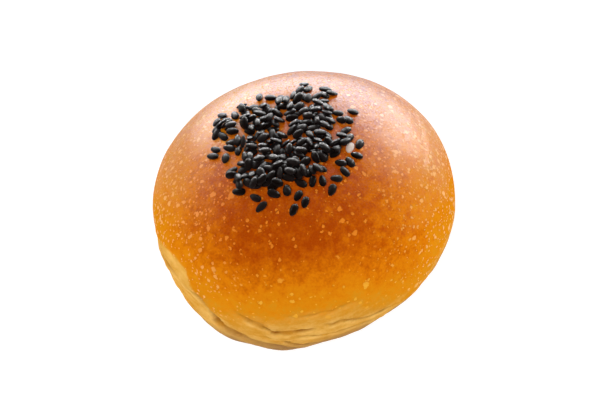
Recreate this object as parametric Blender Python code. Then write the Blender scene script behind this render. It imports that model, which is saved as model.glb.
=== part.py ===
"""An anpan: a round, soft bread bun with a domed, browned top and a pale, folded underside.

The bun is one solid. It stands on its flat base at z = 0, its front towards -Y, and the
middle of its bounding box stands over the origin. The seeds on its crown are too small to be
solids of their own.
"""

import math
from typing import NamedTuple

import bmesh
import bpy
from mathutils import Vector, noise

MM = 0.001

# The plain form
MEAN_RADIUS = 41.0 * MM  # of the widest line, seen from above
HEIGHT = 46.5 * MM
WIDEST_HEIGHT = 17.9 * MM  # mean height of the widest line above the base
BASE_SHARE = 0.825  # radius of the flat base over that of the widest line
DOME_FULLNESS = 2.25  # exponent of the superellipse that the dome follows: 2 is an ellipse
UNDERSIDE_FULLNESS = 2.0

# How the hand-rolled bun is uneven; directions run from +X towards +Y
OVAL_SHARE, OVAL_DIRECTION = 0.041, math.radians(24)
THREE_LOBED_SHARE, THREE_LOBED_DIRECTION = 0.0083, math.radians(-1.8)
TILT_SHARE, TILT_DIRECTION = 0.245, math.radians(146)  # the widest line is higher on this side
APEX_LEAN = -0.8 * MM  # along Y, towards the front
SWELL_DEPTH = 0.35 * MM  # of the slow swells over the whole crust
SWELL_LENGTH = 17.0 * MM
LIFT_FROM = 0.5  # above this share of the height, swells lift the crust as well

# The mesh: a cube of CELLS x CELLS faces a side, swollen into the bun
CELLS = 28
WIDEST_ANGLE = math.radians(72)  # from the crown's axis to the widest line, on the cube's ball
RIM_ANGLE = math.radians(142)  # to the rim of the flat base


class Fold(NamedTuple):
    """A crease that runs round the side, with a soft lip of dough over it."""

    start_azimuth: float  # degrees from +X towards +Y
    end_azimuth: float
    start_height: float  # mm above the base
    end_height: float
    depth: float  # mm
    width: float  # mm, from the crease's middle to where it fades


class Tuck(NamedTuple):
    """A place where the rim of the base stands out or in, from how the dough was pinched."""

    azimuth: float  # degrees from +X towards +Y
    out: float  # mm
    half_width: float  # degrees


FOLDS = (
    Fold(-164, -102, 26.6, 4.0, 0.85, 2.4),
    Fold(-121, -94, 20.5, 15.0, 0.5, 1.6),
    Fold(-114, -92, 11.4, 6.4, 0.5, 1.4),
    Fold(-92, -64, 15.6, 11.6, 0.6, 1.7),
    Fold(-78, -36, 6.0, 6.4, 0.5, 1.6),
    Fold(-46, -10, 10.6, 11.6, 0.55, 1.8),
    Fold(-14, 40, 6.4, 7.4, 0.7, 1.8),
    Fold(22, 66, 12.6, 10.4, 0.5, 1.8),
    Fold(54, 108, 5.4, 8.6, 0.8, 1.9),
    Fold(92, 136, 14.6, 11.8, 0.5, 1.9),
    Fold(122, 180, 7.4, 12.4, 0.9, 2.0),
    Fold(150, 206, 21.5, 16.5, 0.6, 2.3),
)
LIP_SHARE = 0.45  # the lip stands out this share of the crease's depth
LIP_RISE = 1.8  # the lip's crest is this many widths above the crease
LIP_SPREAD = 1.6
FOLD_WAVE, FOLD_WAVE_TURNS = 0.5, 11  # mm that creases wander, and how often round the bun
FOLD_FLOOR = 2.5 * MM  # folds fade out below this height, so that the base stays flat

TUCKS = (
    Tuck(-138, 3.7, 48),
    Tuck(-131, 0.5, 8),
    Tuck(-108, 0.8, 9),
    Tuck(-90, -0.8, 10),
    Tuck(-63, -0.6, 9),
    Tuck(-20, 0.6, 12),
    Tuck(22, -0.7, 11),
    Tuck(58, 0.6, 12),
    Tuck(96, -0.7, 13),
    Tuck(140, 0.7, 12),
    Tuck(175, -0.6, 11),
)


def hump(distance, width):
    """A smooth hump, 1 at distance 0 and near 0 past two widths."""
    return math.exp(-((distance / width) ** 2))


def degrees_apart(azimuth, direction):
    """The signed angle from this direction to the azimuth, from -180 to 180 degrees."""
    return (math.degrees(azimuth) - direction + 180) % 360 - 180


def outline_radius(azimuth):
    """Radius of the widest line in this direction."""
    oval = OVAL_SHARE * math.cos(2 * (azimuth - OVAL_DIRECTION))
    lobes = THREE_LOBED_SHARE * math.cos(3 * (azimuth - THREE_LOBED_DIRECTION))
    return MEAN_RADIUS * (1 + oval + lobes)


def base_radius(azimuth):
    """Radius of the flat base in this direction."""
    tucks = sum(t.out * hump(degrees_apart(azimuth, t.azimuth), t.half_width) for t in TUCKS)
    return outline_radius(azimuth) * BASE_SHARE + tucks * MM


def widest_height(azimuth):
    """Height of the widest line in this direction."""
    return WIDEST_HEIGHT * (1 + TILT_SHARE * math.cos(azimuth - TILT_DIRECTION))


def around(radius, azimuth, height):
    """The point at this radius, azimuth and height."""
    return Vector((radius * math.cos(azimuth), radius * math.sin(azimuth), height))


def dome_point(azimuth, share):
    """A point of the dome: share is 0 at the crown and 1 at the widest line."""
    angle = share * math.pi / 2
    out = math.sin(angle) ** (2 / DOME_FULLNESS)
    up = max(math.cos(angle), 0.0) ** (2 / DOME_FULLNESS)
    low = widest_height(azimuth)
    point = around(outline_radius(azimuth) * out, azimuth, low + (HEIGHT - low) * up)
    return point + Vector((0, APEX_LEAN * up, 0))


def underside_point(azimuth, share):
    """A point where the side rolls under: share is 0 at the widest line and 1 at the base."""
    angle = share * math.pi / 2
    out = max(math.cos(angle), 0.0) ** (2 / UNDERSIDE_FULLNESS)
    down = math.sin(angle) ** (2 / UNDERSIDE_FULLNESS)
    narrow = base_radius(azimuth)
    radius = narrow + (outline_radius(azimuth) - narrow) * out
    return around(radius, azimuth, widest_height(azimuth) * (1 - down))


def plain_point(direction):
    """Where the cube's ball has this direction, the smooth bun has this point."""
    polar = math.acos(max(-1.0, min(1.0, direction.z)))
    azimuth = math.atan2(direction.y, direction.x)
    if polar <= WIDEST_ANGLE:
        return dome_point(azimuth, polar / WIDEST_ANGLE)
    if polar < RIM_ANGLE:
        return underside_point(azimuth, (polar - WIDEST_ANGLE) / (RIM_ANGLE - WIDEST_ANGLE))
    share = (math.pi - polar) / (math.pi - RIM_ANGLE)
    return around(base_radius(azimuth) * share, azimuth, 0.0)


def fold_offset(fold, azimuth, height):
    """How far this fold moves the side outwards at this place."""
    along = (math.degrees(azimuth) - fold.start_azimuth) % 360
    span = fold.end_azimuth - fold.start_azimuth
    if along >= span:
        return 0.0
    share = along / span
    line = fold.start_height + (fold.end_height - fold.start_height) * share
    line += FOLD_WAVE * math.sin(FOLD_WAVE_TURNS * azimuth)
    above = height / MM - line
    crease = hump(above, fold.width)
    lip = LIP_SHARE * hump(above - LIP_RISE * fold.width, LIP_SPREAD * fold.width)
    return fold.depth * MM * math.sin(math.pi * share) * (lip - crease)


def uneven_point(point):
    """The plain bun's point, moved by the folds of the side and the swells of the crust."""
    azimuth = math.atan2(point.y, point.x)
    above_base = min(1.0, point.z / FOLD_FLOOR)
    offset = sum(fold_offset(fold, azimuth, point.z) for fold in FOLDS)
    offset += SWELL_DEPTH * noise.noise(point / SWELL_LENGTH)
    sideways = Vector((point.x, point.y, 0)) / MEAN_RADIUS
    upwards = Vector((0, 0, max(0.0, point.z / HEIGHT - LIFT_FROM)))
    return point + (sideways + upwards) * offset * above_base


def swollen_cube():
    """A cube of small faces, moved onto the bun and centred over the origin."""
    mesh = bmesh.new()
    bmesh.ops.create_cube(mesh, size=2)
    bmesh.ops.subdivide_edges(mesh, edges=mesh.edges[:], cuts=CELLS - 1, use_grid_fill=True)
    for vertex in mesh.verts:
        even = Vector([math.tan(c * math.pi / 4) for c in vertex.co])
        vertex.co = uneven_point(plain_point(even.normalized()))
    xs = [vertex.co.x for vertex in mesh.verts]
    ys = [vertex.co.y for vertex in mesh.verts]
    middle = Vector(((min(xs) + max(xs)) / 2, (min(ys) + max(ys)) / 2, 0))
    bmesh.ops.translate(mesh, verts=mesh.verts[:], vec=-middle)
    return mesh


def crust_material():
    """Browned, egg-washed bread crust."""
    material = bpy.data.materials.new("browned_crust")
    material.use_nodes = True
    shader = material.node_tree.nodes["Principled BSDF"]
    shader.inputs["Base Color"].default_value = (0.60, 0.22, 0.025, 1)
    shader.inputs["Roughness"].default_value = 0.4
    shader.inputs["Metallic"].default_value = 0.0
    return material


def make_bun(collection):
    """The whole bread as one closed solid."""
    mesh = bpy.data.meshes.new("bun")
    swollen = swollen_cube()
    swollen.to_mesh(mesh)
    swollen.free()
    mesh.shade_smooth()
    bun = bpy.data.objects.new("bun", mesh)
    bun.data.materials.append(crust_material())
    collection.objects.link(bun)


def main():
    for old in list(bpy.data.objects):
        bpy.data.objects.remove(old)
    anpan = bpy.data.collections.new("anpan")
    bpy.context.scene.collection.children.link(anpan)
    make_bun(anpan)


main()
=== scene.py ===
"""The looks of an anpan: a glazed, browned bun with black sesame seeds on its crown.

The frame's one node, bun, gives the bread's form and place. The bread here follows it closely
and adds the fine folds of its pale skirt, and the seeds lie on it. The front is towards -Y.
Lengths are in metres where nothing else is said. Directions round the bun are in degrees from
+X towards +Y.
"""

import logging
import math
import random
from dataclasses import dataclass, field
from enum import Enum
from typing import Any, Optional, Union

import bmesh
import bpy
import numpy as np
from mathutils import Euler, Matrix, Vector, noise
from mathutils.bvhtree import BVHTree


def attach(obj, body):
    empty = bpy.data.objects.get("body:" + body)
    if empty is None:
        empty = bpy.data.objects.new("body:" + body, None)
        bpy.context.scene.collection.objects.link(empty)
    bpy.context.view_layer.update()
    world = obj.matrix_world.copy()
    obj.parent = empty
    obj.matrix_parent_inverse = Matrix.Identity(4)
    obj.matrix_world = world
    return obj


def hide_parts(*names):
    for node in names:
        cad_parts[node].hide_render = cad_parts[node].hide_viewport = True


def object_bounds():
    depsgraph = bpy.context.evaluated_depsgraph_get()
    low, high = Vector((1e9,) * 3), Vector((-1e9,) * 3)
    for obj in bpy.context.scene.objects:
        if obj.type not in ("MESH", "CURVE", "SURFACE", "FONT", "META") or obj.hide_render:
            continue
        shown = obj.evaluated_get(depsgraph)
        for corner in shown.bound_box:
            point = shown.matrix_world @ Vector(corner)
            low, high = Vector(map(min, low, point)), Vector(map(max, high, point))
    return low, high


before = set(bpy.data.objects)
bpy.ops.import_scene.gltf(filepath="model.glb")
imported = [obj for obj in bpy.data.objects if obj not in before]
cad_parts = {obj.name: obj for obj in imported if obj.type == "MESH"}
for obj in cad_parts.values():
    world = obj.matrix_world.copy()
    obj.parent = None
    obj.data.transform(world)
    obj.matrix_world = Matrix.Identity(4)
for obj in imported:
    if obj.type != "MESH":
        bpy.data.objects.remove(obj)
CAD_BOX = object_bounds()
BODY = "root"
NODE = "bun"
MM = 0.001

Colour = tuple[float, float, float]
log = logging.getLogger("anpan")


class Slot(Enum):
    """The record's material slots."""

    CRUST = "crust"
    BLACK_SESAME = "black_sesame"
    PALE_SESAME = "pale_sesame"


# --- Shader expressions -------------------------------------------------------------------


class Value:
    """A number that a shader works out for each point, used in Python expressions."""

    def __init__(self, shader: "Shader", socket: bpy.types.NodeSocket) -> None:
        """Wraps a socket of the shader's tree."""
        self.shader = shader
        self.socket = socket

    def maths(self, operation: str, *terms: "Term") -> "Value":
        """Adds a Math node.

        Args:
            operation: the node's operation.
            terms: what goes into its sockets, in order.

        Returns:
            The node's answer.
        """
        inputs = dict(enumerate(terms))
        return self.shader.value("ShaderNodeMath", {"operation": operation}, inputs)

    def __add__(self, other: "Term") -> "Value":
        """self + other."""
        return self.maths("ADD", self, other)

    def __radd__(self, other: "Term") -> "Value":
        """other + self."""
        return self.maths("ADD", other, self)

    def __sub__(self, other: "Term") -> "Value":
        """self - other."""
        return self.maths("SUBTRACT", self, other)

    def __rsub__(self, other: "Term") -> "Value":
        """other - self."""
        return self.maths("SUBTRACT", other, self)

    def __mul__(self, other: "Term") -> "Value":
        """self * other."""
        return self.maths("MULTIPLY", self, other)

    def __rmul__(self, other: "Term") -> "Value":
        """other * self."""
        return self.maths("MULTIPLY", other, self)

    def __lt__(self, other: "Term") -> "Value":
        """1 where self < other, and 0 elsewhere."""
        return self.maths("LESS_THAN", self, other)

    def between(self, low: "Term", high: "Term") -> "Value":
        """Rises smoothly from one number to another, and falls so where high is below low.

        Args:
            low: where the answer is 0.
            high: where the answer is 1.

        Returns:
            A value from 0 to 1.
        """
        inputs = {"Value": self, "From Min": low, "From Max": high}
        settings = {"interpolation_type": "SMOOTHSTEP"}
        return self.shader.value("ShaderNodeMapRange", settings, inputs)


Term = Union[Value, float]


class Shader:
    """A material's node tree while it is put together."""

    def __init__(self, name: str) -> None:
        """Starts a material of this name, with an empty tree."""
        self.material = bpy.data.materials.new(name)
        self.material.use_nodes = True
        self.tree = self.material.node_tree
        self.tree.nodes.clear()

    def node(
        self, kind: str, settings: dict[str, Any], inputs: dict[Union[str, int], Any]
    ) -> bpy.types.Node:
        """Adds a node.

        Args:
            kind: the node's type.
            settings: its properties, which are set first; stops are a ramp's stops.
            inputs: values or links for its sockets, by name or number.

        Returns:
            The new node.
        """
        made = self.tree.nodes.new(kind)
        for name, setting in settings.items():
            if name == "stops":
                self._set_stops(made.color_ramp, setting)
            else:
                setattr(made, name, setting)
        for key, given in inputs.items():
            if isinstance(given, Value):
                self.tree.links.new(given.socket, made.inputs[key])
            else:
                made.inputs[key].default_value = given
        return made

    @staticmethod
    def _set_stops(ramp: bpy.types.ColorRamp, stops: tuple[tuple[float, Colour], ...]) -> None:
        """Gives a new ramp its stops.

        Args:
            ramp: the ramp.
            stops: a place from 0 to 1 and a colour for each.
        """
        while len(ramp.elements) < len(stops):
            ramp.elements.new(1.0)
        for element, (place, colour) in zip(ramp.elements, stops):
            element.position = place
            element.color = (*colour, 1.0)

    def value(
        self,
        kind: str,
        settings: dict[str, Any],
        inputs: dict[Union[str, int], Any],
        output: Union[str, int] = 0,
    ) -> Value:
        """Adds a node as node() does, and returns one of its outputs."""
        return Value(self, self.node(kind, settings, inputs).outputs[output])

    def millimetres(self) -> Value:
        """The point's place on the object, in millimetres."""
        place = self.value("ShaderNodeTexCoord", {}, {}, "Object")
        return self.stretched(place, (1 / MM,) * 3)

    def attribute(self, name: str) -> Value:
        """A number that the mesh carries at each point."""
        return self.value("ShaderNodeAttribute", {"attribute_name": name}, {}, "Fac")

    def noise(self, place: Value, size: float, detail: float = 2.0) -> Value:
        """Soft blotches about 0.

        Args:
            place: where, in millimetres.
            size: of the largest blotches, in millimetres.
            detail: how many finer sizes are laid over them.

        Returns:
            A value from about -0.5 to 0.5.
        """
        inputs = {"Vector": place, "Scale": 1 / size, "Detail": detail}
        return self.value("ShaderNodeTexNoise", {}, inputs) - 0.5

    def shaken(self, place: Value, size: float, amount: float) -> Value:
        """Moves places about, so that what is drawn at them has a crooked edge.

        Args:
            place: where, in millimetres.
            size: of the waves that move it, in millimetres.
            amount: how far it moves in all, in millimetres.

        Returns:
            The moved place.
        """
        inputs = {"Vector": place, "Scale": 1 / size, "Detail": 2.0}
        waves = self.value("ShaderNodeTexNoise", {}, inputs, "Color")
        settings = {"operation": "MULTIPLY_ADD"}
        terms = {0: waves, 1: (amount,) * 3, 2: (-amount / 2,) * 3}
        moved = self.value("ShaderNodeVectorMath", settings, terms)
        return self.value("ShaderNodeVectorMath", {"operation": "ADD"}, {0: place, 1: moved})

    def stretched(self, place: Value, scale: tuple[float, float, float]) -> Value:
        """The place with each of its axes scaled, so that patterns on it grow long or short."""
        settings = {"vector_type": "POINT"}
        return self.value("ShaderNodeMapping", settings, {"Vector": place, "Scale": scale})

    def mix(self, share: Term, first: Any, second: Any) -> Value:
        """The first colour where share is 0 and the second where it is 1.

        Args:
            share: from 0 to 1, and clamped to that.
            first: a colour or a link.
            second: the same.

        Returns:
            The mixed colour.
        """
        settings = {"data_type": "RGBA", "clamp_factor": True}
        sockets = {0: share, 6: first, 7: second}  # by number, as the node's names repeat
        return self.value("ShaderNodeMix", settings, sockets, 2)

    def bump(self, height: Value, distance: float, strength: float = 1.0) -> Value:
        """The normal of a surface raised by height times distance, in metres."""
        inputs = {"Height": height, "Distance": distance, "Strength": strength}
        return self.value("ShaderNodeBump", {}, inputs, "Normal")

    def finish(self, inputs: dict[str, Any]) -> bpy.types.Material:
        """Ends the tree in a Principled shader.

        Args:
            inputs: values or links for the shader's sockets, by name.

        Returns:
            The finished material.
        """
        shader = self.value("ShaderNodeBsdfPrincipled", {}, inputs)
        self.node("ShaderNodeOutputMaterial", {}, {"Surface": shader})
        return self.material


# --- Finishes -----------------------------------------------------------------------------


def opaque(colour: Colour) -> tuple[float, float, float, float]:
    """The colour as a colour socket takes it."""
    return (*colour, 1.0)


@dataclass(frozen=True)
class Grain:
    """Soft blotches of one kind.

    Attributes:
        size: of the largest, in millimetres.
        detail: how many finer sizes are laid over them.
        squeeze: how far places are scaled along X, Y and Z first, so that the blotches grow
            long along the axes with the small numbers.
    """

    size: float
    detail: float
    squeeze: Optional[tuple[float, float, float]] = None

    def over(self, shader: Shader, place: Value) -> Value:
        """Lays the blotches over the surface.

        Args:
            shader: the tree that they are added to.
            place: the point's place, in millimetres.

        Returns:
            A value from about -0.5 to 0.5.
        """
        if self.squeeze:
            place = shader.stretched(place, self.squeeze)
        return shader.noise(place, self.size, self.detail)


@dataclass(frozen=True)
class Blisters:
    """Small pale blisters of one size in the crust.

    Attributes:
        spacing: of the cells that may hold a blister each, in millimetres.
        share: of the cells that hold one, where blisters are most crowded.
        radius: of the largest blister, in millimetres.
        paleness: how far a blister's colour goes from the crust's to the blister's own.
        evenness: 0 where crowding alone sets how many cells hold one, and 1 where it has no say.
        waviness: size of the waves that make its outline crooked, over its radius.
        smallest: radius of the smallest blister over the largest's.
        rim: where a blister's soft edge ends, over its radius.
    """

    spacing: float
    share: float
    radius: float
    paleness: float
    evenness: float
    waviness: float = 1.5
    smallest: float = 0.5
    rim: float = 0.7

    def mask(self, shader: Shader, place: Value, crowd: Value) -> Value:
        """Where the blisters are.

        Args:
            shader: the tree that they are added to.
            place: the point's place, in millimetres.
            crowd: from 0 to 1, how crowded blisters are there.

        Returns:
            1 inside a blister and 0 outside.
        """
        waves = self.radius * self.waviness
        inputs = {"Vector": shader.shaken(place, waves, waves), "Scale": 1 / self.spacing}
        cells = shader.node("ShaderNodeTexVoronoi", {"voronoi_dimensions": "3D"}, inputs)
        distance, draw = (Value(shader, cells.outputs[name]) for name in ("Distance", "Color"))
        drawn = shader.node("ShaderNodeSeparateColor", {}, {0: draw})
        chance, size = (Value(shader, drawn.outputs[number]) for number in (0, 1))
        size = size * (1 - self.smallest) + self.smallest
        radius = size * (self.radius / self.spacing)
        held = (crowd * (1 - self.evenness) + self.evenness) * self.share
        return distance.between(radius, radius * self.rim) * (chance < held)


@dataclass(frozen=True)
class CrustFinish:
    """Egg-washed crust: deep orange-brown on the dome, golden lower down, pale on the skirt.

    Attributes:
        shades: the crust's colour from where it is least baked, 0, to most, 1.
        blisters: the sizes of blisters.
        pale_blister_and_sheen: the colour of blisters where they are crowded, pale and whitened a
        little as a painted sheen.
        golden_blister: their colour where there are few.
        brown_blister: their colour where the crust is most baked.
        cream_and_lip_highlight: the palest dough, also laid on the creases' lips as a painted
        highlight.
        crease_shade: painted shade, a dark brown laid into the creases and under their lips.
        tray_brown_and_shade_colour: the base's brown where it lay on its tray, deepened as
        painted shade.
        coarse_mottle: unevenness of the browning and the sheen.
        fine_mottle: the same, finer.
        blotches: slow unevenness of the browning.
        streaks: the skirt's stretched dough.
        patches: pale patches of the skirt.
        crumb: the skirt's fine crumb.
        grain: fine grain of the sheen.
        skin_bake: dough that is baked this far has a closed skin.
        roughness: of the skin and of its glaze.
        skirt_roughness: what the bare skirt's has over the skin's.
        coat_ior: the glaze's index of refraction.
        relief: height of all that stands out of the skin.
    """

    shades: tuple[tuple[float, Colour], ...] = (
        (0.0, (0.74, 0.33, 0.034)),
        (0.17, (0.77, 0.295, 0.011)),
        (0.34, (0.81, 0.272, 0.005)),
        (0.56, (0.77, 0.210, 0.003)),
        (0.72, (0.655, 0.148, 0.002)),
        (0.85, (0.56, 0.102, 0.0015)),
        (1.0, (0.46, 0.064, 0.0008)),
    )
    blisters: tuple[Blisters, ...] = (
        Blisters(0.95, 0.90, 0.38, 0.85, 0.0),
        Blisters(1.5, 0.80, 0.58, 0.95, 0.05),
        Blisters(2.6, 0.65, 0.85, 0.95, 0.10),
        Blisters(5.0, 0.60, 1.25, 0.85, 0.20),
    )
    pale_blister_and_sheen: Colour = (1.0, 0.48, 0.12)
    golden_blister: Colour = (0.95, 0.46, 0.03)
    brown_blister: Colour = (0.88, 0.24, 0.018)
    cream_and_lip_highlight: Colour = (0.95, 0.56, 0.14)
    crease_shade: Colour = (0.36, 0.12, 0.010)
    tray_brown_and_shade_colour: Colour = (0.43, 0.23, 0.08)
    coarse_mottle: Grain = Grain(2.2, 4.0)
    fine_mottle: Grain = Grain(0.6, 1.0)
    blotches: Grain = Grain(7.0, 3.0)
    streaks: Grain = Grain(1.6, 3.0, (0.35, 0.35, 1.0))
    patches: Grain = Grain(3.2, 2.0, (0.5, 0.5, 1.0))
    crumb: Grain = Grain(0.9, 3.0)
    grain: Grain = Grain(0.5, 2.0)
    skin_bake: float = 0.30
    roughness: float = 0.40
    skirt_roughness: float = 0.32
    coat_ior: float = 1.5
    relief: float = 0.2 * MM

    def blistering(self, shader: Shader, place: Value, crowd: Value) -> Value:
        """Lays blisters of all sizes over each other.

        Args:
            shader: the tree that they are added to.
            place: the point's place, in millimetres.
            crowd: from 0 to 1, how crowded blisters are there.

        Returns:
            How far the colour goes to a blister's own, from 0 to 1.
        """
        masks = [layer.mask(shader, place, crowd) * layer.paleness for layer in self.blisters]
        most = masks[0]
        for mask in masks[1:]:
            most = most.maths("MAXIMUM", most, mask)
        return most

    def build(self) -> bpy.types.Material:
        """Makes the crust's material, from the numbers that the bread's mesh carries.

        Returns:
            The material.
        """
        shader = Shader("browned_crust")
        place = shader.millimetres()
        bake, crease, tray_brown_and_shade = (shader.attribute(n) for n in ("bake", "crease", "tray_brown_and_shade"))
        cream_and_lip_highlight, crowd, glaze = (shader.attribute(n) for n in ("cream_and_lip_highlight", "crowd", "glaze"))
        streaks, patches = self.streaks.over(shader, place), self.patches.over(shader, place)
        crumb, grain = self.crumb.over(shader, place), self.grain.over(shader, place)
        mottle = self.coarse_mottle.over(shader, place) * 0.68
        mottle = mottle + self.fine_mottle.over(shader, place) * 0.36
        blotches = self.blotches.over(shader, place) * 0.28 + mottle
        skin = bake.between(0.0, self.skin_bake)
        inputs = {0: bake + blotches * (skin * 0.75 + 0.25)}
        colour = shader.value("ShaderNodeValToRGB", {"stops": self.shades}, inputs, "Color")
        # Paler: pale dough and patches, and a painted highlight on the dough beside the creases.
        paler = cream_and_lip_highlight * (streaks * 1.8 + 0.85) + (1 - skin) * (crumb * 0.7 + patches * 1.7)
        colour = shader.mix(paler, colour, opaque(self.cream_and_lip_highlight))
        # Painted shade: the creases and the dough under their lips are darkened in the colour.
        colour = shader.mix(crease * (streaks * 1.2 + 0.85), colour, opaque(self.crease_shade))
        blistered = self.blistering(shader, place, crowd) * (skin * 0.8 + 0.2)
        golden = crowd.between(0.6, 0.2)
        # Blisters where crowded, mostly on the flanks, are whitened a little as a painted sheen.
        spots = shader.mix(golden, opaque(self.pale_blister_and_sheen), opaque(self.golden_blister))
        brown = bake.between(self.skin_bake, 1.0)
        spots = shader.mix(brown, spots, opaque(self.brown_blister))
        colour = shader.mix(blistered, colour, spots)
        # Darker towards the base: the tray's brown, deepened as painted shade.
        colour = shader.mix(tray_brown_and_shade, colour, opaque(self.tray_brown_and_shade_colour))
        skirt = (1 - skin) * (streaks * 0.9 + crumb * 0.6)
        height = blistered * 0.8 + mottle * 0.5 + grain * 0.9 + skirt
        coat = glaze * (grain * 3.5 + mottle + 0.78) + blistered * crowd * 0.9
        roughness = (1 - skin) * self.skirt_roughness + self.roughness + grain * 0.1
        return shader.finish(
            {
                "Base Color": colour,
                "Roughness": roughness,
                "Specular IOR Level": 0.0,
                "Coat Weight": coat.maths("MINIMUM", coat, 1.0),
                "Coat Roughness": self.roughness,
                "Coat IOR": self.coat_ior,
                "Normal": shader.bump(height, self.relief),
            }
        )


@dataclass(frozen=True)
class SesameFinish:
    """The hull of a sesame seed, with a soft shine.

    Attributes:
        name: the material's.
        slot: the record's slot for it.
        dark: the colour of the darkest seed.
        light: that of the lightest one.
        roughness: of the hull.
        grain: the hull's fine grain.
        specular: how much it shines.
        relief: height of the grain.
    """

    name: str
    slot: Slot
    dark: Colour
    light: Colour
    roughness: float
    grain: Grain = Grain(0.35, 2.0)
    specular: float = 0.26
    relief: float = 0.06 * MM

    def build(self) -> bpy.types.Material:
        """Makes the hull's material. The mesh carries tone, one number for each seed.

        Returns:
            The material.
        """
        shader = Shader(self.name)
        grain = self.grain.over(shader, shader.millimetres())
        share = shader.attribute("tone") + grain * 0.5
        return shader.finish(
            {
                "Base Color": shader.mix(share, opaque(self.dark), opaque(self.light)),
                "Roughness": grain * 0.12 + self.roughness,
                "Specular IOR Level": self.specular,
                "Normal": shader.bump(grain, self.relief),
            }
        )


@dataclass(frozen=True)
class FloorFinish:
    """A plain, pale, matt floor that is lit from below, as a light table is."""

    colour: Colour = (0.30, 0.30, 0.30)
    roughness: float = 0.9
    light: Colour = (1.0, 1.0, 1.0)
    glow: float = 0.86

    def build(self) -> bpy.types.Material:
        """Makes the floor's material.

        Returns:
            The material.
        """
        return Shader("pale_floor").finish(
            {
                "Base Color": opaque(self.colour),
                "Roughness": self.roughness,
                "Specular IOR Level": 0.0,
                "Emission Color": opaque(self.light),
                "Emission Strength": self.glow,
            }
        )


# --- The bread ----------------------------------------------------------------------------


def hump(offset: np.ndarray) -> np.ndarray:
    """A smooth hump: 1 at offset 0 and near 0 past offsets of 2."""
    return np.exp(-(offset**2))


def by_direction(degrees: np.ndarray, table: tuple[tuple[float, float], ...]) -> np.ndarray:
    """What a table of directions and numbers says for each direction, in between as well."""
    return np.interp(degrees, *zip(*table))


@dataclass(frozen=True)
class Crease:
    """A fine crease that runs round the side, with a soft lip of dough over it.

    Attributes:
        depth: millimetres.
        width: millimetres from the crease's middle to where it fades.
        path: where it runs: degrees, and millimetres above the base.
        lip: how far the dough above it stands out, as a share of the depth.
        roll: how far the dough below it stands out, likewise.
        lip_place: how far above the crease the lip's crest is, and the lip's spread, in widths.
        sides: how far the groove reaches above and below its middle, in widths.
        full_shade: a crease of this depth in millimetres is as dark as any.
        taper: how soon it reaches its full depth from its ends.
        degree: millimetres round the side in one degree.
    """

    depth: float
    width: float
    path: tuple[tuple[float, float], ...]
    lip: float = 0.6
    roll: float = 0.2
    lip_place: tuple[float, float] = (2.0, 1.4)
    sides: tuple[float, float] = (0.5, 1.1)
    full_shade: float = 0.6
    taper: float = 2.4
    degree: float = 0.66

    def profile(self, degrees: np.ndarray, heights: np.ndarray) -> tuple[np.ndarray, ...]:
        """The crease's relief.

        Args:
            degrees: the direction of each point.
            heights: the height of each point, in millimetres.

        Returns:
            How far each point moves outwards, in millimetres, and from 0 to 1 how much it is
            in the crease's painted shade and how far out it lies on the dough above or below,
            where a painted highlight goes.
        """
        turns, levels = zip(*self.path)
        along = (degrees - turns[0]) % 360
        share = np.clip(along / (turns[-1] - turns[0]), 0, 1)
        line = np.interp(along + turns[0], turns, levels)
        slopes = np.gradient(levels, turns) / self.degree
        leaning = np.hypot(1, np.interp(along + turns[0], turns, slopes))
        above = (heights - line) / (self.width * leaning)
        fade = np.clip(self.taper * np.sin(math.pi * share), 0, 1)
        upper, lower = self.sides
        groove = np.exp(-np.abs(np.where(above > 0, above / upper, above / lower)) ** 1.6) * fade
        steep = self.depth / self.width
        overhung = 0.5 * hump(above / 0.6) + 0.5 * np.exp(-np.abs(above) / 1.3)
        below = hump(above / (0.30 + 0.75 * steep))
        darkness = min(self.depth / self.full_shade, 1) * fade
        shade = np.minimum(1.3 * np.where(above > 0, overhung, below), 1) * darkness
        rise, spread = self.lip_place
        lip = hump((above - rise) / spread) * fade
        roll = hump(above + 1.2 + 0.6 * steep) * fade
        out = self.depth * (self.lip * lip + self.roll * roll - groove)
        return out, shade, np.maximum(0.6 * lip, roll)


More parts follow.
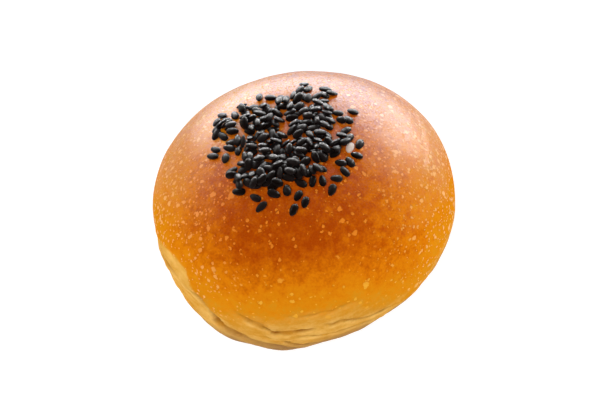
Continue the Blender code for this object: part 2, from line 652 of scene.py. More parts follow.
@dataclass(frozen=True)
class Browning:
    """How far the oven browned the crust, from 0 on the pale skirt to 1 where it is darkest;
    a patch at the top back adds painted shade.

    Attributes:
        start: where browning starts, in each direction: degrees, millimetres above the base.
        rise: millimetres over which it comes to its full depth.
        flap: how high a pale flap of dough covers the side, in the same way.
        flap_edge: millimetres over which the flap ends.
        everywhere: browning all over.
        crown: browning added on the crown.
        crown_rise: the heights, in millimetres, between which that comes in.
        patches: darker parts: x, y and reach in millimetres, and the browning added there; the
        second, at the top back, is painted shade.
        most: browning where it is darkest.
    """

    start: tuple[tuple[float, float], ...] = (
        (-180, 13.0),
        (-130, 14.0),
        (-110, 16.0),
        (-95, 16.5),
        (-78, 15.0),
        (-64, 9.0),
        (-50, 2.5),
        (-10, 1.0),
        (30, 5.0),
        (70, 11.0),
        (120, 14.0),
        (180, 13.0),
    )
    rise: float = 21.5
    flap: tuple[tuple[float, float], ...] = (
        (-180, 26.5),
        (-160, 28.2),
        (-146, 29.8),
        (-143, 29.4),
        (-141, 26.0),
        (-136, 20.6),
        (-133.5, 14.5),
        (-130, 10.2),
        (-124, 8.3),
        (-113, 6.0),
        (-100, 0.0),
        (120, 0.0),
        (140, 12.0),
        (165, 23.0),
        (180, 26.5),
    )
    flap_edge: float = 1.1
    everywhere: float = 0.36
    crown: float = 0.08
    crown_rise: tuple[float, float] = (34.0, 42.0)
    patches: tuple[tuple[float, float, float, float], ...] = (
        (-4.0, -25.0, 29.0, 0.56),
        # Painted shade: a darker patch at the top back, where less light falls under the sheen.
        (12.0, 16.0, 21.0, 0.34),
    )
    most: float = 0.95

    def bake(self, places: np.ndarray, degrees: np.ndarray) -> np.ndarray:
        """Works out how far points are browned, apart from the flap, with painted shade at the
        top back.

        Args:
            places: the points, in millimetres.
            degrees: the direction of each.

        Returns:
            The browning of each, below 0 where it hasn't started.
        """
        low, high = self.crown_rise
        full = self.everywhere + self.crown * np.clip((places[:, 2] - low) / (high - low), 0, 1)
        for x, y, reach, share in self.patches:
            away = np.hypot(places[:, 0] - x, places[:, 1] - y) / reach
            full += share * np.exp(-(away**3))
        start = by_direction(degrees, self.start)
        return np.minimum(full, self.most) * np.minimum((places[:, 2] - start) / self.rise, 1)

    def under_flap(self, heights: np.ndarray, degrees: np.ndarray) -> np.ndarray:
        """1 on the pale flap of dough and 0 off it: heights are in millimetres."""
        edge = by_direction(degrees, self.flap)
        return np.clip((edge - heights) / self.flap_edge + 0.5, 0, 1)


def ray(polar: float, turn: float) -> Vector:
    """The direction at this angle from straight up and this turn from +X, in radians."""
    across = math.sin(polar)
    return Vector((across * math.cos(turn), across * math.sin(turn), math.cos(polar)))


@dataclass
class Bread:
    """The bread itself, as one closed skin that follows the frame's node.

    Attributes:
        around: faces round the bread.
        rings: rings of faces, from the crown to the middle of the base.
        spread: how far down the rings are: a share of their number, and degrees from the
            crown's axis.
        core_height: millimetres above the base: rays from here find the node's surface.
        smoothing: passes along the rings and across them.
        weld: closes the seam where the grid's sides meet.
        creases: the skirt's creases.
        browning: how far the oven browned the crust.
        slow_waves: length of the dough's slow waves, how far they shift what lies at a height,
            and how far they lift the skin, in millimetres.
        quick_waves: length of its quick waves and how far they shift what lies at a height.
        skirt_bake: dough that is browned this far is no longer skirt.
        wrinkle_grain: waves of the skirt's wrinkles in a millimetre along X, Y and Z.
        wrinkles: how far the wrinkles stand out, in millimetres.
        flap_sink: how far the flap lies back, in millimetres, above flap_foot.
        flap_foot: millimetres above the base.
        base_fade: all relief fades out below this height, so that the base stays flat.
        dent: the shallow dent under the seeds: x, y, reach and depth in millimetres.
        dent_floor: millimetres above the base: nothing lower is moved by the dent.
        tray_brown_and_shade: heights, in millimetres, where the darkening near the base, the
        tray's brown and painted shade, is full and where it ends.
        glazed: how low the egg wash reaches, in each direction: degrees and millimetres.
        glaze_rise: millimetres over which it comes to its full depth.
        blistered: how crowded blisters are on the flanks: degrees, and from 0 to 1.
        crown_blisters: how crowded they are in the middle of the crown.
        flank: millimetres from the bread's axis: from here outwards it is flank.
        finish: the crust's finish.
    """

    around: int = 372
    rings: int = 256
    spread: tuple[tuple[float, float], ...] = ((0, 0), (0.27, 58), (0.92, 116), (1, 180))
    core_height: float = 14.0
    smoothing: tuple[int, int] = (7, 58)
    weld: float = 0.001 * MM
    creases: tuple[Crease, ...] = (
        Crease(1.50, 1.2, (
            (-168, 24.0), (-155, 22.5), (-146, 23.0), (-140, 21.5), (-136, 20.0), (-133.5, 14.5),
            (-130, 10.2), (-124, 8.3), (-113, 6.3), (-102, 3.4),
        ), lip=0.1),
        Crease(0.65, 0.8, ((-124, 22.4), (-118, 19.8), (-113, 17.3), (-110, 15.4), (-94, 14.6))),
        Crease(0.60, 0.7, ((-114, 12.6), (-109, 11.0), (-103.5, 7.4), (-92, 5.0))),
        Crease(0.28, 0.7, ((-106, 21.6), (-98, 21.0), (-84, 22.0), (-76, 20.0))),
        Crease(0.42, 0.8, ((-92, 15.2), (-85, 14.3), (-76, 12.1), (-62, 11.0))),
        Crease(0.38, 0.7, ((-104, 11.9), (-86, 9.1), (-70, 8.4))),
        Crease(0.48, 0.8, ((-78, 5.8), (-60, 7.0), (-36, 6.2))),
        Crease(0.40, 0.8, ((-46, 10.8), (-30, 10.2), (-10, 11.8))),
        Crease(0.60, 0.9, ((-14, 6.6), (10, 6.0), (40, 7.8))),
        Crease(0.45, 0.8, ((22, 12.8), (44, 11.0), (66, 10.6))),
        Crease(0.70, 0.9, ((54, 5.2), (80, 7.8), (108, 8.4))),
        Crease(0.50, 0.8, ((92, 14.4), (112, 13.8), (136, 11.6))),
        Crease(0.80, 0.95, ((122, 7.6), (150, 9.0), (180, 12.4))),
        Crease(0.50, 0.8, ((152, 22.4), (178, 20.8), (206, 16.8))),
    )
    browning: Browning = Browning()
    slow_waves: tuple[float, float, float] = (7.0, 1.5, 0.10)
    quick_waves: tuple[float, float] = (2.6, 0.6)
    skirt_bake: float = 0.28
    wrinkle_grain: tuple[float, float, float] = (0.13, 0.13, 0.45)
    wrinkles: float = 0.30
    flap_sink: float = 0.30
    flap_foot: float = 12.0
    base_fade: float = 2.5
    dent: tuple[float, float, float, float] = (-1.5, -1.0, 15.0, 1.2)
    dent_floor: float = 20.0
    tray_brown_and_shade: tuple[float, float] = (3.0, 9.0)
    glazed: tuple[tuple[float, float], ...] = (
        (-180, 30.0),
        (-165, 33.0),
        (-120, 35.0),
        (-60, 33.0),
        (-40, 28.0),
        (-20, 24.0),
        (20, 20.0),
        (60, 20.0),
        (110, 25.0),
        (150, 28.0),
        (180, 29.0),
    )
    glaze_rise: float = 10.0
    blistered: tuple[tuple[float, float], ...] = (
        (-180, 0.75),
        (-140, 0.60),
        (-110, 0.20),
        (-80, 0.15),
        (-50, 0.40),
        (-20, 0.95),
        (5, 0.90),
        (30, 0.45),
        (60, 0.12),
        (130, 0.12),
        (160, 0.60),
        (180, 0.75),
    )
    crown_blisters: float = 0.35
    flank: float = 25.0
    finish: CrustFinish = CrustFinish()

    def polars(self) -> np.ndarray:
        """The angle of each ring of vertices from the crown's axis, in radians."""
        return np.radians(np.interp(np.arange(self.rings + 1) / self.rings, *zip(*self.spread)))

    def reach(self) -> np.ndarray:
        """Measures how far the node's surface is from the core, and smooths that.

        Returns:
            The distances in millimetres, a row for each ring.
        """
        solid = BVHTree.FromObject(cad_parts[NODE], bpy.context.evaluated_depsgraph_get())
        core = Vector((0, 0, self.core_height * MM))
        turns = [2 * math.pi * column / self.around for column in range(self.around)]
        rays = [[ray(polar, turn) for turn in turns] for polar in self.polars()]
        found = np.array([[solid.ray_cast(core, r)[3] for r in ring] for ring in rays]) / MM
        along, across = self.smoothing
        for _ in range(along):
            found = (np.roll(found, 1, 1) + 2 * found + np.roll(found, -1, 1)) / 4
        for _ in range(across):
            wide = np.pad(found, ((1, 1), (0, 0)), "edge")
            found = (wide[:-2] + 2 * found + wide[2:]) / 4
        poles = [0, -1]
        found[poles] = found[poles].mean(axis=1, keepdims=True)
        return found

    def swell(self, mesh: bmesh.types.BMesh) -> None:
        """Rolls a square grid up into a ball that follows the frame's node, its base flat.

        Args:
            mesh: a grid from -1 to 1 both ways, of as many faces as the bread has.
        """
        reach, polars = self.reach(), self.polars()
        for vertex in mesh.verts:
            turn = math.pi * vertex.co.x
            ring = round((1 - vertex.co.y) / 2 * self.rings)
            column = round(turn / (2 * math.pi) * self.around) % self.around
            vertex.co = ray(polars[ring], turn) * reach[ring, column]
            vertex.co.z = max(vertex.co.z + self.core_height, 0.0)
            vertex.co *= MM
        bmesh.ops.remove_doubles(mesh, verts=mesh.verts[:], dist=self.weld)

    def fold(self, mesh: bmesh.types.BMesh) -> dict[str, np.ndarray]:
        """Presses the creases, fine wrinkles and the crown's dent into the skin.

        Args:
            mesh: the swollen, smooth bread.

        Returns:
            For each vertex: bake, from 0 on the pale skirt to 1 where the crust is
            darkest, browning with painted shade at the top back; crease, the creases' painted
            shade, 1 where it is darkest; cream_and_lip_highlight, 1 on the palest dough, with a
            painted highlight on the creases' lips; tray_brown_and_shade, 1 where the bread lay on
            its tray, the tray's brown with painted shade; glaze, 1 where it was brushed with egg;
            and crowd, 1 where blisters are at their most crowded.
        """
        mesh.normal_update()
        places = np.array([v.co for v in mesh.verts]) / MM
        normals = np.array([v.normal for v in mesh.verts])
        degrees = np.degrees(np.arctan2(places[:, 1], places[:, 0]))
        heights = places[:, 2]
        slow_length, slow_shift, slow_lift = self.slow_waves
        quick_length, quick_shift = self.quick_waves
        slow = np.array([noise.noise(Vector(p) / slow_length) for p in places])
        quick = np.array([noise.noise(Vector(p) / quick_length) for p in places])
        shaken = heights + slow_shift * slow + quick_shift * quick
        flap = self.browning.under_flap(shaken, degrees)
        bake = self.browning.bake(places, degrees) * (1 - flap)
        skirt = np.clip(1 - bake / self.skirt_bake, 0, 1)
        lift, shades, lip_highlights = np.zeros((3, len(places)))
        # Each crease adds its painted shade (shades) and a painted highlight on the dough beside it.
        for crease in self.creases:
            out, shade, lip = crease.profile(degrees, shaken)
            strength = np.clip(0.85 + 0.8 * quick, 0.4, 1.2) * (0.5 + 0.5 * skirt)
            lift += out * strength
            shades = np.maximum(shades, shade * strength)
            lip_highlights = np.maximum(lip_highlights, lip * strength)
        stretched = places * np.array(self.wrinkle_grain)
        wrinkles = np.array([noise.fractal(Vector(p), 0.8, 2.0, 3) for p in stretched])
        sunk = self.flap_sink * flap * (heights > self.flap_foot)
        lift += self.wrinkles * skirt * wrinkles + slow_lift * slow - sunk
        lift *= np.clip(heights / self.base_fade, 0, 1)
        moved = places + normals * lift[:, None]
        moved[:, 2] -= self.dent_depth(places)
        for vertex, place in zip(mesh.verts, moved * MM):
            vertex.co = place
        # Pale dough on the flap and skirt, and a painted highlight on the creases' lips.
        cream_and_lip_highlight = np.clip(np.maximum(0.85 * lip_highlights * skirt, 0.38 * flap) + 0.15 * skirt, 0, 1)
        full, end = self.tray_brown_and_shade
        glaze = (shaken - by_direction(degrees, self.glazed)) / self.glaze_rise
        return {
            "bake": bake,
            "crease": shades,
            "cream_and_lip_highlight": cream_and_lip_highlight,
            "tray_brown_and_shade": np.clip((end - shaken) / (end - full), 0, 1),
            "glaze": np.clip(glaze, 0, 1),
            "crowd": self.crowding(places, degrees),
        }

    def dent_depth(self, places: np.ndarray) -> np.ndarray:
        """Works out how far down the crown's dent presses points.

        Args:
            places: the points, in millimetres.

        Returns:
            The depth at each, in millimetres.
        """
        x, y, reach, depth = self.dent
        away = np.hypot(places[:, 0] - x, places[:, 1] - y) / reach
        return depth * np.exp(-(away**4)) * (places[:, 2] > self.dent_floor)

    def crowding(self, places: np.ndarray, degrees: np.ndarray) -> np.ndarray:
        """Works out how crowded blisters are.

        Args:
            places: the points, in millimetres.
            degrees: the direction of each.

        Returns:
            A number from 0 to 1 for each.
        """
        outwards = np.clip(np.hypot(places[:, 0], places[:, 1]) / self.flank, 0, 1)
        more = by_direction(degrees, self.blistered) - self.crown_blisters
        return self.crown_blisters + more * outwards

    def build(self) -> bpy.types.Object:
        """Makes the bread, with what its finish needs to know at each vertex.

        Returns:
            The bread's piece, still bare.
        """
        mesh = bmesh.new()
        bmesh.ops.create_grid(mesh, x_segments=self.around, y_segments=self.rings, size=1)
        self.swell(mesh)
        return make_piece("bread", mesh, self.fold(mesh))

    def dress(self, piece: bpy.types.Object) -> None:
        """Gives the bread its crust, and lets it stand for the frame's node."""
        hand_over(piece, self.finish.build())
        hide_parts(NODE)


# --- The seeds ----------------------------------------------------------------------------


class SeedKind(Enum):
    """The kinds of seed, by the names of their pieces, in the order they are made."""

    BLACK = "black_seeds"
    PALE = "pale_seed"
    FADED = "faded_seed"


HULLS = {
    SeedKind.BLACK: SesameFinish(
        "black_sesame", Slot.BLACK_SESAME, (0.004, 0.002, 0.0015), (0.012, 0.008, 0.007), 0.38
    ),
    SeedKind.PALE: SesameFinish(
        "pale_sesame", Slot.PALE_SESAME, (0.62, 0.46, 0.38), (0.75, 0.62, 0.54), 0.45
    ),
    SeedKind.FADED: SesameFinish(
        "faded_sesame", Slot.PALE_SESAME, (0.30, 0.14, 0.09), (0.50, 0.28, 0.20), 0.5
    ),
}


@dataclass(frozen=True)
class Clump:
    """A patch of the crown that seeds fell on: an ellipse, in millimetres, and their number."""

    x: float
    y: float
    reach_x: float
    reach_y: float
    count: int


@dataclass(frozen=True)
class Drop:
    """Where one seed is dropped: millimetres, and the way it points in degrees."""

    x: float
    y: float
    turn: float


@dataclass
class Seed:
    """One seed at rest: its centre and half sizes in millimetres, and how it is turned."""

    centre: Vector
    half: Vector
    turned: Euler

    def matrix(self) -> Matrix:
        """Takes a seed of half sizes 1, 1 and 1 to this one, in metres."""
        placed = Matrix.Translation(self.centre * MM) @ self.turned.to_matrix().to_4x4()
        return placed @ Matrix.Diagonal((*(self.half * MM), 1.0))


class Terrain:
    """The height of the crown and of the seeds on it, on a fine square grid, in millimetres."""

    def __init__(self, bread: bpy.types.Object, reach: float, pitch: float) -> None:
        """Measures the bare crown.

        Args:
            bread: the bread that the seeds lie on.
            reach: half the grid's side.
            pitch: between its points.
        """
        self.pitch = pitch
        self.reach = reach
        self.line = np.arange(int(2 * reach / pitch) + 1) * pitch - reach
        solid = BVHTree.FromObject(bread, bpy.context.evaluated_depsgraph_get())
        above = CAD_BOX[1].z + 10 * MM
        down = Vector((0, 0, -1))
        starts = [[Vector((x * MM, y * MM, above)) for x in self.line] for y in self.line]
        self.bare = np.array([[solid.ray_cast(start, down)[0].z for start in row] for row in starts])
        self.bare /= MM
        self.heights = self.bare.copy()

    def window(self, x: float, y: float, half: float) -> tuple[slice, slice]:
        """Finds the part of the grid round a point.

        Args:
            x: the point, in millimetres.
            y: the same.
            half: half the side of the square round it.

        Returns:
            The square's rows and columns.
        """
        first = [int((c - half + self.reach) / self.pitch) for c in (y, x)]
        count = int(2 * half / self.pitch) + 1
        return slice(first[0], first[0] + count), slice(first[1], first[1] + count)

    def faces(self, seed: Seed) -> tuple[tuple[slice, slice], np.ndarray, np.ndarray]:
        """Works out the seed's lower and upper faces over the grid, as an ellipsoid's.

        Args:
            seed: a seed, whose centre's height isn't read.

        Returns:
            The window of the grid that it covers, and how far its faces lie below and above
            its centre there; both are nan where the seed isn't.
        """
        window = self.window(seed.centre.x, seed.centre.y, max(seed.half))
        dx = self.line[window[1]][None, :] - seed.centre.x
        dy = self.line[window[0]][:, None] - seed.centre.y
        turned = np.array(seed.turned.to_matrix())
        form = turned @ np.diag([1 / h**2 for h in seed.half]) @ turned.T
        slant = form[0, 2] * dx + form[1, 2] * dy
        out = form[0, 0] * dx**2 + 2 * form[0, 1] * dx * dy + form[1, 1] * dy**2 - 1
        inside = slant**2 - form[2, 2] * out
        root = np.sqrt(np.where(inside > 0, inside, np.nan))
        return window, (root + slant) / form[2, 2], (root - slant) / form[2, 2]

    def resting_height(self, seed: Seed) -> float:
        """How high the seed's centre is when it is let down, turned as it is."""
        window, below, _ = self.faces(seed)
        return float(np.nanmax(self.heights[window] + below))

    def top(self, seed: Seed) -> float:
        """How high a seed at rest reaches."""
        return float(np.nanmax(self.faces(seed)[2])) + seed.centre.z

    def lift(self, seed: Seed) -> float:
        """How high the seed's centre lies above the bare crown."""
        row, column = (round((c + self.reach) / self.pitch) for c in seed.centre.yx)
        return seed.centre.z - float(self.bare[row, column])

    def cover(self, seed: Seed) -> None:
        """Adds a seed at rest to the terrain.

        Args:
            seed: the seed.
        """
        window, _, above = self.faces(seed)
        self.heights[window] = np.fmax(self.heights[window], above + seed.centre.z)


@dataclass
class SeedHeap:
    """Black sesame seeds in a loose heap on the crown, with a pale and a faded one among them.

    Attributes:
        length: of a seed, in millimetres, as are breadth and thickness.
        unevenness: share by which a seed's sizes stray.
        facets: sides and rings of a seed's mesh.
        blunt: how much broader a seed is at its round end.
        fullness: how much broader it is near both ends than an ellipsoid.
        lean: how far a falling seed leans, in degrees: the usual roll and pitch.
        steps: how it comes to rest: tilts in degrees and slides in millimetres, ever finer.
        repeats: how often each of those is tried.
        least_gain: millimetres: a move that lowers the seed by less isn't made.
        friction: a slide is made only if it goes down by more than this share of its length.
        tries: places that a seed of a clump may roll to, of which it keeps the lowest.
        highest: millimetres above the base: a seed that lies higher rolls off.
        sink: millimetres that a seed settles into the glaze.
        field: half the side of the part of the crown that seeds may lie on, in millimetres.
        pitch: between the points where the crown's height is kept, in millimetres.
        falls: starts the random draws of how the seeds fall.
        shades: starts those of how dark each seed is.
        clumps: the patches that make up the heap.
        strays: the loose seeds round it.
        pale: the pale seed.
        faded: the faded seed.
    """

    length: float = 3.4
    breadth: float = 2.05
    thickness: float = 1.05
    unevenness: float = 0.08
    facets: tuple[int, int] = (10, 7)
    blunt: float = 0.14
    fullness: float = 0.1
    lean: tuple[float, float] = (12, 6)
    steps: tuple[tuple[float, float], ...] = ((14, 0.4), (7, 0.2), (3, 0.1), (1.5, 0.05))
    repeats: int = 8
    least_gain: float = 0.002
    friction: float = 0.55
    tries: int = 6
    highest: float = 47.9
    sink: float = 0.10
    field: float = 26.0
    pitch: float = 0.1
    falls: int = 11
    shades: int = 5
    clumps: tuple[Clump, ...] = (
        Clump(-10.5, 10.2, 3.0, 3.2, 7),
        Clump(-6.4, 9.2, 2.8, 2.6, 7),
        Clump(-8.6, 4.4, 4.6, 3.4, 19),
        Clump(-8.6, -1.6, 4.8, 3.4, 20),
        Clump(-7.6, -6.4, 4.2, 2.4, 13),
        Clump(-8.2, -9.8, 3.8, 2.4, 13),
        Clump(-3.4, -8.0, 2.2, 4.2, 12),
        Clump(1.8, 6.6, 2.2, 3.0, 9),
        Clump(6.8, 5.2, 3.4, 3.4, 13),
        Clump(4.6, 0.6, 5.0, 3.0, 22),
        Clump(4.2, -4.4, 5.2, 2.6, 19),
        Clump(1.4, -8.3, 3.8, 2.6, 14),
        Clump(6.6, -8.6, 3.2, 2.2, 8),
        Clump(12.0, -5.6, 2.4, 3.2, 5),
        Clump(5.0, 15.8, 1.8, 1.4, 3),
        Clump(9.4, 12.0, 2.4, 2.4, 5),
        Clump(3.4, 12.0, 2.2, 2.4, 5),
        Clump(-1.0, 11.6, 2.2, 2.0, 5),
        Clump(-6.2, 15.2, 2.2, 1.2, 2),
        Clump(-16.4, 5.6, 1.6, 3.6, 7),
        Clump(-15.6, -0.8, 1.8, 2.2, 4),
        Clump(-12.9, -7.6, 2.0, 2.4, 4),
        Clump(-15.8, -9.0, 1.6, 1.8, 3),
        Clump(-13.6, -12.6, 2.8, 2.0, 7),
        Clump(-8.6, -14.0, 2.8, 2.2, 10),
        Clump(-4.0, -11.8, 3.0, 2.0, 11),
        Clump(1.2, -12.8, 4.0, 1.6, 9),
    )
    strays: tuple[Drop, ...] = (
        Drop(16.2, 4.5, -33),
        Drop(14.6, 1.5, -62),
        Drop(12.7, 1.6, -39),
        Drop(12.2, 4.5, -27),
        Drop(13.2, -2.1, 29),
        Drop(15.6, -6.9, 60),
        Drop(14.3, -10.2, -25),
        Drop(12.7, -12.0, -69),
        Drop(10.3, -12.1, -24),
        Drop(10.9, -14.6, -59),
        Drop(8.5, -16.4, -8),
        Drop(5.0, -16.6, -90),
        Drop(6.9, -19.2, 60),
        Drop(2.5, -16.4, 73),
        Drop(-0.4, -16.3, -46),
        Drop(-4.1, -17.7, -93),
        Drop(-1.6, -19.7, 51),
        Drop(-0.2, -21.6, 64),
        Drop(-3.3, -23.0, 54),
        Drop(-11.0, -20.6, 31),
        Drop(-12.1, -18.0, -42),
        Drop(-16.0, -15.1, -20),
        Drop(-18.3, -4.0, 78),
        Drop(-21.6, -1.9, -30),
        Drop(-20.7, -0.4, -42),
        Drop(-18.1, 12.5, -48),
        Drop(-16.8, 9.7, -41),
        Drop(-19.7, 10.3, 56),
        Drop(-19.7, 7.7, 36),
        Drop(-20.1, 5.3, 57),
        Drop(-14.6, 10.9, -80),
    )
    pale: tuple[Drop, ...] = (Drop(13.4, -7.8, 65),)
    faded: tuple[Drop, ...] = (Drop(-8.8, -3.5, -82),)

    def new_seed(self, x: float, y: float, turn: float, rng: random.Random) -> Seed:
        """Makes a seed of uneven size that leans a little any way.

        Args:
            x: its place, in millimetres.
            y: the same.
            turn: the way it points, in degrees.
            rng: draws its sizes and how it leans.

        Returns:
            The seed, not yet let down.
        """
        stray = [1 + rng.uniform(-1, 1) * self.unevenness for _ in range(3)]
        sizes = (self.length, self.breadth, self.thickness)
        half = Vector([size * s / 2 for size, s in zip(sizes, stray)])
        lean = [math.radians(rng.gauss(0, usual)) for usual in self.lean]
        return Seed(Vector((x, y, 0)), half, Euler((*lean, math.radians(turn))))

    def settle(self, seed: Seed, terrain: Terrain) -> None:
        """Lets a seed down, and tips and slides it until it finds no lower place nearby.

        Args:
            seed: the seed, which is moved.
            terrain: what it lands on.
        """
        seed.centre.z = terrain.resting_height(seed)
        for tilt, slide in self.steps:
            for _ in range(self.repeats):
                if not self.step(seed, terrain, math.radians(tilt), slide):
                    break

    def step(self, seed: Seed, terrain: Terrain, tilt: float, slide: float) -> bool:
        """Tries small moves and keeps the one that brings the seed lowest.

        Args:
            seed: the seed, which is moved.
            terrain: what it lies on.
            tilt: how far it may tip, in radians.
            slide: how far it may slide, in millimetres.

        Returns:
            Whether a move was worth it.
        """
        best, kept = seed.centre.z - self.least_gain, None
        moves = [(0, 0, s * tilt, 0) for s in (-1, 1)] + [(0, 0, 0, s * tilt) for s in (-1, 1)]
        moves += [(s * slide, 0, 0, 0) for s in (-1, 1)] + [(0, s * slide, 0, 0) for s in (-1, 1)]
        for dx, dy, roll, pitch in moves:
            centre = seed.centre + Vector((dx, dy, 0))
            turned = Euler((seed.turned.x + roll, seed.turned.y + pitch, seed.turned.z))
            height = terrain.resting_height(Seed(centre, seed.half, turned))
            cost = height + self.friction * (abs(dx) + abs(dy))
            if cost < best:
                best = cost
                kept = Seed(Vector((centre.x, centre.y, height)), seed.half, turned)
        if kept:
            seed.centre, seed.turned = kept.centre, kept.turned
        return kept is not None

    def fall(self, clump: Clump, terrain: Terrain, rng: random.Random) -> Seed:
        """Lets a seed fall on a clump, to where it lies lowest of the few places tried.

        Args:
            clump: where it falls.
            terrain: what it lands on.
            rng: draws the places.

        Returns:
            The seed at rest.
        """
        settled = []
        for _ in range(self.tries):
            turn, out = rng.uniform(0, 2 * math.pi), math.sqrt(rng.random())
            x = clump.x + clump.reach_x * out * math.cos(turn)
            y = clump.y + clump.reach_y * out * math.sin(turn)
            settled.append(self.new_seed(x, y, rng.uniform(0, 360), rng))
            self.settle(settled[-1], terrain)
        return min(settled, key=terrain.lift)

    def scatter(self, bread: bpy.types.Object) -> dict[SeedKind, list[Seed]]:
        """Drops all the seeds on the bread, the single ones first and then the heap's.

        Args:
            bread: what they lie on.

        Returns:
            The seeds at rest, by their kind.
        """
        rng = random.Random(self.falls)
        terrain = Terrain(bread, self.field, self.pitch)
        heap = {kind: [] for kind in SeedKind}
        singles = (
            (SeedKind.PALE, self.pale),
            (SeedKind.FADED, self.faded),
            (SeedKind.BLACK, self.strays),
        )
        for kind, drops in singles:
            for drop in drops:
                seed = self.new_seed(drop.x, drop.y, drop.turn, rng)
                self.settle(seed, terrain)
                terrain.cover(seed)
                heap[kind].append(seed)
        falling = [clump for clump in self.clumps for _ in range(clump.count)]
        rng.shuffle(falling)
        lying = 0
        for clump in falling:
            seed = self.fall(clump, terrain, rng)
            if terrain.top(seed) < self.highest:
                terrain.cover(seed)
                heap[SeedKind.BLACK].append(seed)
                lying += 1
        log.info("%d of the heap's %d seeds rolled off", len(falling) - lying, len(falling))
        for seed in (s for seeds in heap.values() for s in seeds):
            seed.centre.z -= self.sink
        return heap

    def template(self) -> bpy.types.Mesh:
        """Makes a seed of half sizes 1, 1 and 1: an oval that is broader at one end.

        Returns:
            Its mesh.
        """
        mesh = bmesh.new()
        sides, rings = self.facets
        along = Matrix.Rotation(math.pi / 2, 4, "Y")
        bmesh.ops.create_uvsphere(mesh, u_segments=sides, v_segments=rings, radius=1, matrix=along)
        for vertex in mesh.verts:
            x, y, z = vertex.co
            broad = (1 + self.fullness * x**4) * (1 + self.blunt * x)
            vertex.co = Vector((x, y * broad, z * broad))
        seed = bpy.data.meshes.new("seed")
        mesh.to_mesh(seed)
        mesh.free()
        return seed

    def build(self, kind: SeedKind, seeds: list[Seed]) -> bpy.types.Object:
        """Joins the seeds of one kind into one piece.

        Args:
            kind: their kind.
            seeds: the seeds at rest.

        Returns:
            The piece, still bare, which carries tone, one number for each seed.
        """
        rng = random.Random(self.shades)
        template = self.template()
        size = len(template.vertices)
        mesh = bmesh.new()
        for number, seed in enumerate(seeds):
            mesh.from_mesh(template)
            mesh.verts.ensure_lookup_table()
            fresh = mesh.verts[number * size :]
            bmesh.ops.transform(mesh, matrix=seed.matrix(), verts=fresh)
        bpy.data.meshes.remove(template)
        tones = np.repeat([rng.random() for _ in seeds], size)
        return make_piece(kind.value, mesh, {"tone": tones})

    def dress(self, piece: bpy.types.Object, kind: SeedKind) -> None:
        """Gives the seeds of one kind their finish."""
        hull = HULLS[kind]
        hand_over(piece, hull.build())


# --- Putting it together ------------------------------------------------------------------


def make_piece(
    name: str, mesh: bmesh.types.BMesh, carried: dict[str, np.ndarray]
) -> bpy.types.Object:
    """Turns a finished bmesh into an object at the origin.

    Args:
        name: the piece's name.
        mesh: its shape, which is freed.
        carried: numbers for each vertex, by the names that the finish reads.

    Returns:
        The new object.
    """
    data = bpy.data.meshes.new(name)
    mesh.to_mesh(data)
    mesh.free()
    data.shade_smooth()
    for key, numbers in carried.items():
        layer = data.attributes.new(key, "FLOAT", "POINT")
        layer.data.foreach_set("value", np.asarray(numbers, np.float32))
    piece = bpy.data.objects.new(name, data)
    bpy.context.scene.collection.objects.link(piece)
    return piece


def hand_over(piece: bpy.types.Object, material: bpy.types.Material) -> None:
    """Ends a piece's making: it gets its finish and rides on the frame.

    Args:
        piece: the piece.
        material: its finish.
    """
    piece.data.materials.append(material)
    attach(piece, BODY)
    log.info("%s: %d faces", piece.name, len(piece.data.polygons))


@dataclass(frozen=True)
class Lamp:
    """A rectangular soft light, aimed at the bun.

    Attributes:
        name: what it is called.
        turn: degrees from the front, towards the right.
        elevation: degrees above the horizon.
        sides: its width and height, in metres.
        radiance: how bright its face is.
        shines: whether it shows in glossy surfaces.
        lights: whether it lights matt ones.
    """

    name: str
    turn: float
    elevation: float
    sides: tuple[float, float]
    radiance: float
    shines: bool = True
    lights: bool = True


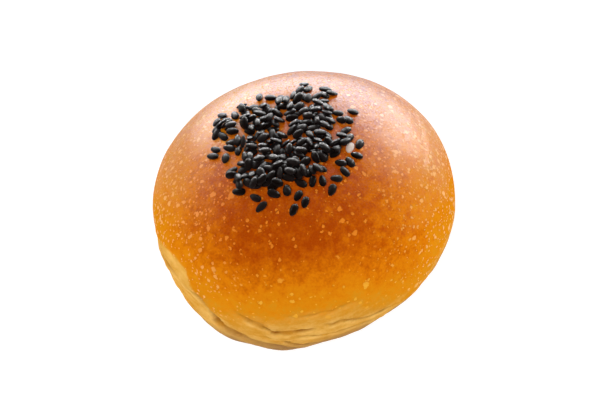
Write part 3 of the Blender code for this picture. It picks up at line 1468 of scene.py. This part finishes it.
@dataclass
class Studio:
    """A pale floor, soft light whose shine comes from behind, and the camera.

    Attributes:
        floor_side: metres.
        floor_finish: the floor's finish.
        aim: the point that the camera and the lamps look at.
        elevation: of the camera, in degrees above the horizon.
        roll: of the camera, in degrees.
        distance: from the aim to the camera.
        lens: its focal length in millimetres.
        sensor: the width of its sensor in millimetres.
        shift: of the picture, as shares of its width.
        clip: the least distance that it shows.
        lamp_distance: metres from the aim to a lamp.
        background: brightness of what is seen beyond the floor.
        lamps: the lights.
    """

    floor_side: float = 1.6
    floor_finish: FloorFinish = FloorFinish()
    aim: Vector = field(default_factory=lambda: Vector((0, 0, 16.4 * MM)))
    elevation: float = 51.0
    roll: float = 10.0
    distance: float = 266.5 * MM
    lens: float = 56.7
    sensor: float = 36
    shift: tuple[float, float] = (-0.0101, 0.0055)
    clip: float = 10 * MM
    lamp_distance: float = 0.6
    background: float = 0.85
    lamps: tuple[Lamp, ...] = (
        Lamp("window", 160, 20, (1.3, 0.42), 13.0, lights=False),
        Lamp("left_window", -128, 32, (0.5, 0.4), 1.2, lights=False),
        Lamp("overhead", 0, 78, (0.6, 0.6), 0.4, shines=False),
        Lamp("front", -24, 54, (0.6, 0.6), 2.4, shines=False),
        Lamp("right", 94, 16, (0.6, 0.3), 3.8, shines=False),
        Lamp("left", -120, 20, (0.6, 0.3), 2.6, shines=False),
        Lamp("back", 168, 8, (0.6, 0.2), 1.1, shines=False),
    )

    def place(
        self, thing: bpy.types.Object, turn: float, elevation: float, distance: float
    ) -> None:
        """Puts a lamp or camera round the aim, looking at it.

        Args:
            thing: the lamp or camera.
            turn: degrees from the front, towards the right.
            elevation: degrees above the horizon.
            distance: metres from the aim.
        """
        round_by, up_by = math.radians(turn), math.radians(elevation)
        out, up = math.cos(up_by), math.sin(up_by)
        back = Vector((math.sin(round_by) * out, -math.cos(round_by) * out, up))
        thing.location = self.aim + back * distance
        thing.rotation_euler = back.to_track_quat("Z", "Y").to_euler()
        bpy.context.scene.collection.objects.link(thing)

    def hang(self, lamp: Lamp) -> None:
        """Adds a lamp.

        Args:
            lamp: the lamp.
        """
        light = bpy.data.lights.new(lamp.name, "AREA")
        light.shape = "RECTANGLE"
        light.size, light.size_y = lamp.sides
        light.energy = lamp.radiance * math.pi * lamp.sides[0] * lamp.sides[1]
        hung = bpy.data.objects.new(lamp.name, light)
        light.cycles.use_multiple_importance_sampling = False
        hung.visible_glossy, hung.visible_diffuse = lamp.shines, lamp.lights
        self.place(hung, lamp.turn, lamp.elevation, self.lamp_distance)

    def surround(self) -> None:
        """Sets the plain background, which lights nothing."""
        world = bpy.data.worlds.new("studio")
        world.use_nodes = True
        background = world.node_tree.nodes["Background"]
        background.inputs["Color"].default_value = (1, 1, 1, 1)
        background.inputs["Strength"].default_value = self.background
        for light in ("diffuse", "glossy", "transmission", "scatter"):
            setattr(world.cycles_visibility, light, False)
        bpy.context.scene.world = world

    def build(self) -> None:
        """Sets up the floor, the lights and the camera."""
        mesh = bmesh.new()
        bmesh.ops.create_grid(mesh, x_segments=1, y_segments=1, size=self.floor_side / 2)
        floor = make_piece("floor", mesh, {})
        floor.data.transform(Matrix.Translation((0, 0, CAD_BOX[0].z)))
        floor.data.materials.append(self.floor_finish.build())
        for lamp in self.lamps:
            self.hang(lamp)
        self.surround()
        bpy.context.scene.view_settings.view_transform = "Standard"
        self.add_camera()

    def add_camera(self) -> None:
        """Makes the camera the scene's own."""
        lens = bpy.data.cameras.new("camera")
        lens.lens = self.lens
        lens.sensor_width = self.sensor
        lens.shift_x, lens.shift_y = self.shift
        lens.clip_start = self.clip
        camera = bpy.data.objects.new("camera", lens)
        self.place(camera, 0, self.elevation, self.distance)
        roll = Matrix.Rotation(-math.radians(self.roll), 3, "Z")
        camera.rotation_euler = (camera.rotation_euler.to_matrix() @ roll).to_euler()
        bpy.context.scene.camera = camera


def main() -> None:
    """Builds the bread, the seeds and the studio."""
    logging.basicConfig(level=logging.INFO, format="%(name)s: %(message)s")
    bread = Bread()
    loaf = bread.build()
    bread.dress(loaf)
    heap = SeedHeap()
    for kind, seeds in heap.scatter(loaf).items():
        heap.dress(heap.build(kind, seeds), kind)
    Studio().build()


if __name__ == "__main__":
    main()
